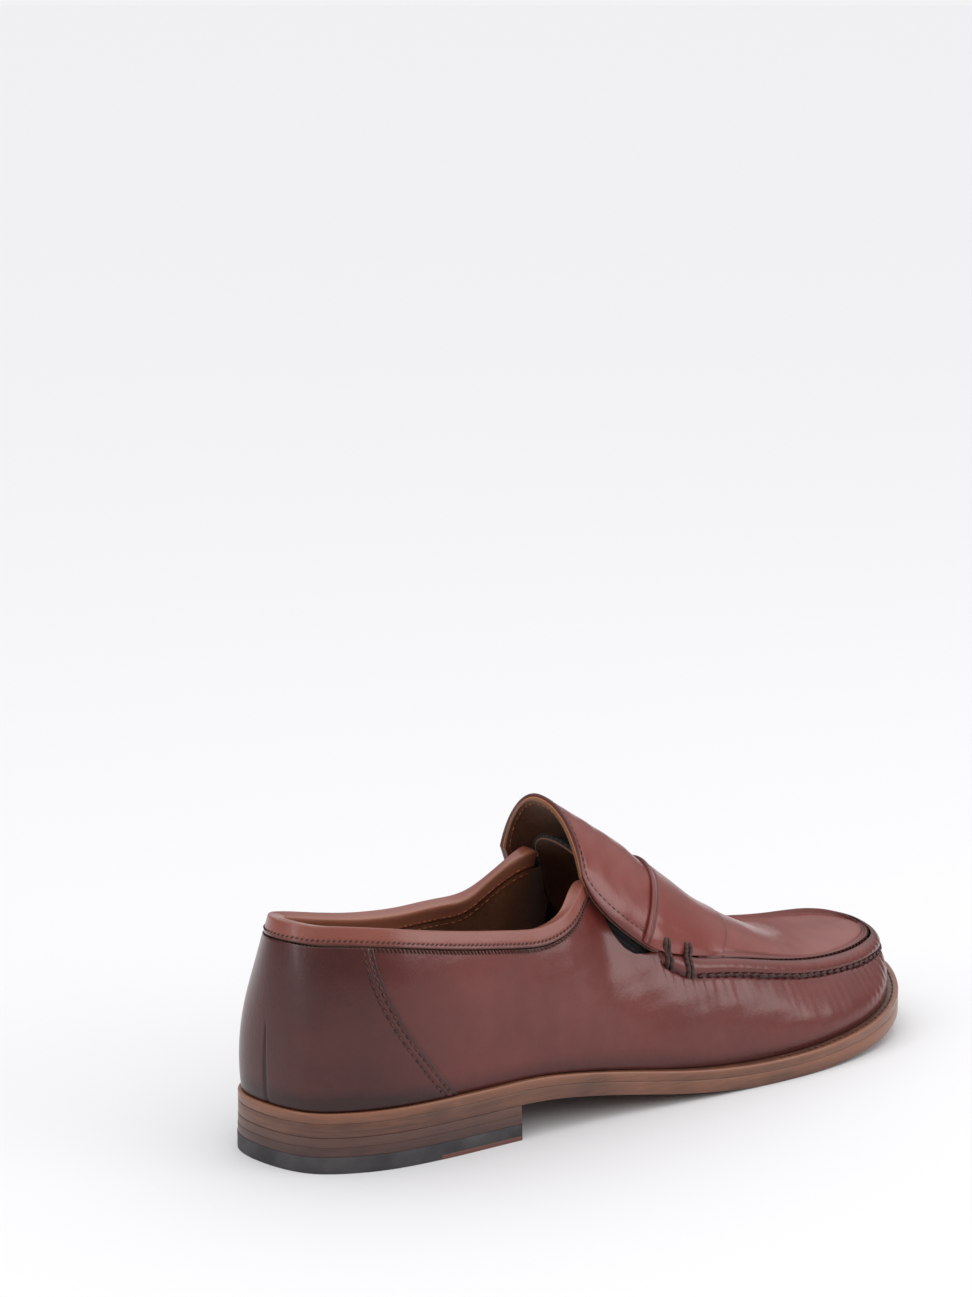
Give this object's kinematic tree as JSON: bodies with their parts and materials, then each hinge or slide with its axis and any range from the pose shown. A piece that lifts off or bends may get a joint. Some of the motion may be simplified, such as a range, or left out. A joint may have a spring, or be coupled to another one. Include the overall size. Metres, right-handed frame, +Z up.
{
  "type": "penny loafer",
  "caption": "Right-foot slip-on loafer with moccasin apron, saddle strap, lined upper, elastic under a hinged tongue, welted sole and stacked heel.",
  "frame": {"origin": "middle of the sole outline, on the ground", "axes": "+X to the toe, +Y to the inner side of the foot, +Z up"},
  "size_m": [0.3003, 0.103, 0.1124],
  "materials": {
    "upper_leather": "glossy",
    "lining_leather": "satin",
    "stiffener_board": "matt",
    "thread": "matt",
    "elastic": "matt",
    "sole_edge": "satin",
    "stacked_leather": "satin",
    "heel_rubber": "matt",
    "cork": "matt",
    "foam": "matt",
    "spring_steel": "satin",
    "nail_brass": "satin"
  },
  "bodies": {
    "shoe": {"top_lift_rubber": "heel_rubber", "top_lift_leather": "stacked_leather", "heel_lift_1": "stacked_leather", "heel_lift_2": "stacked_leather", "heel_nail_1": "nail_brass", "heel_nail_2": "nail_brass", "heel_nail_3": "nail_brass", "heel_nail_4": "nail_brass", "heel_nail_5": "nail_brass", "outsole": "sole_edge", "welt": "sole_edge", "cork_filler": "cork", "shank": "spring_steel", "insole_board": "stiffener_board", "heel_pad": "foam", "sock_lining": "lining_leather", "side_wall": "upper_leather", "heel_cover": "upper_leather", "heel_counter": "stiffener_board", "toe_puff": "stiffener_board", "quarter_lining": "lining_leather", "vamp_lining": "lining_leather", "collar_binding": "upper_leather", "tongue_root": "upper_leather", "apron": "upper_leather", "apron_lining": "lining_leather", "saddle_strap": "upper_leather", "elastic_gore": "elastic", "apron_thread": "thread", "lashing_outer": "thread", "lashing_inner": "thread"},
    "tongue": {"tongue": "upper_leather", "tongue_lining": "lining_leather"}
  },
  "joints": [
    {"name": "tongue_lift", "type": "hinge", "parent": "shoe", "child": "tongue", "pos_m": [0.0129, 0, 0.0886], "axis": [0, 1, 0], "range_deg": [0, 22], "stiffness_Nm_per_rad": 0.4}
  ]
}
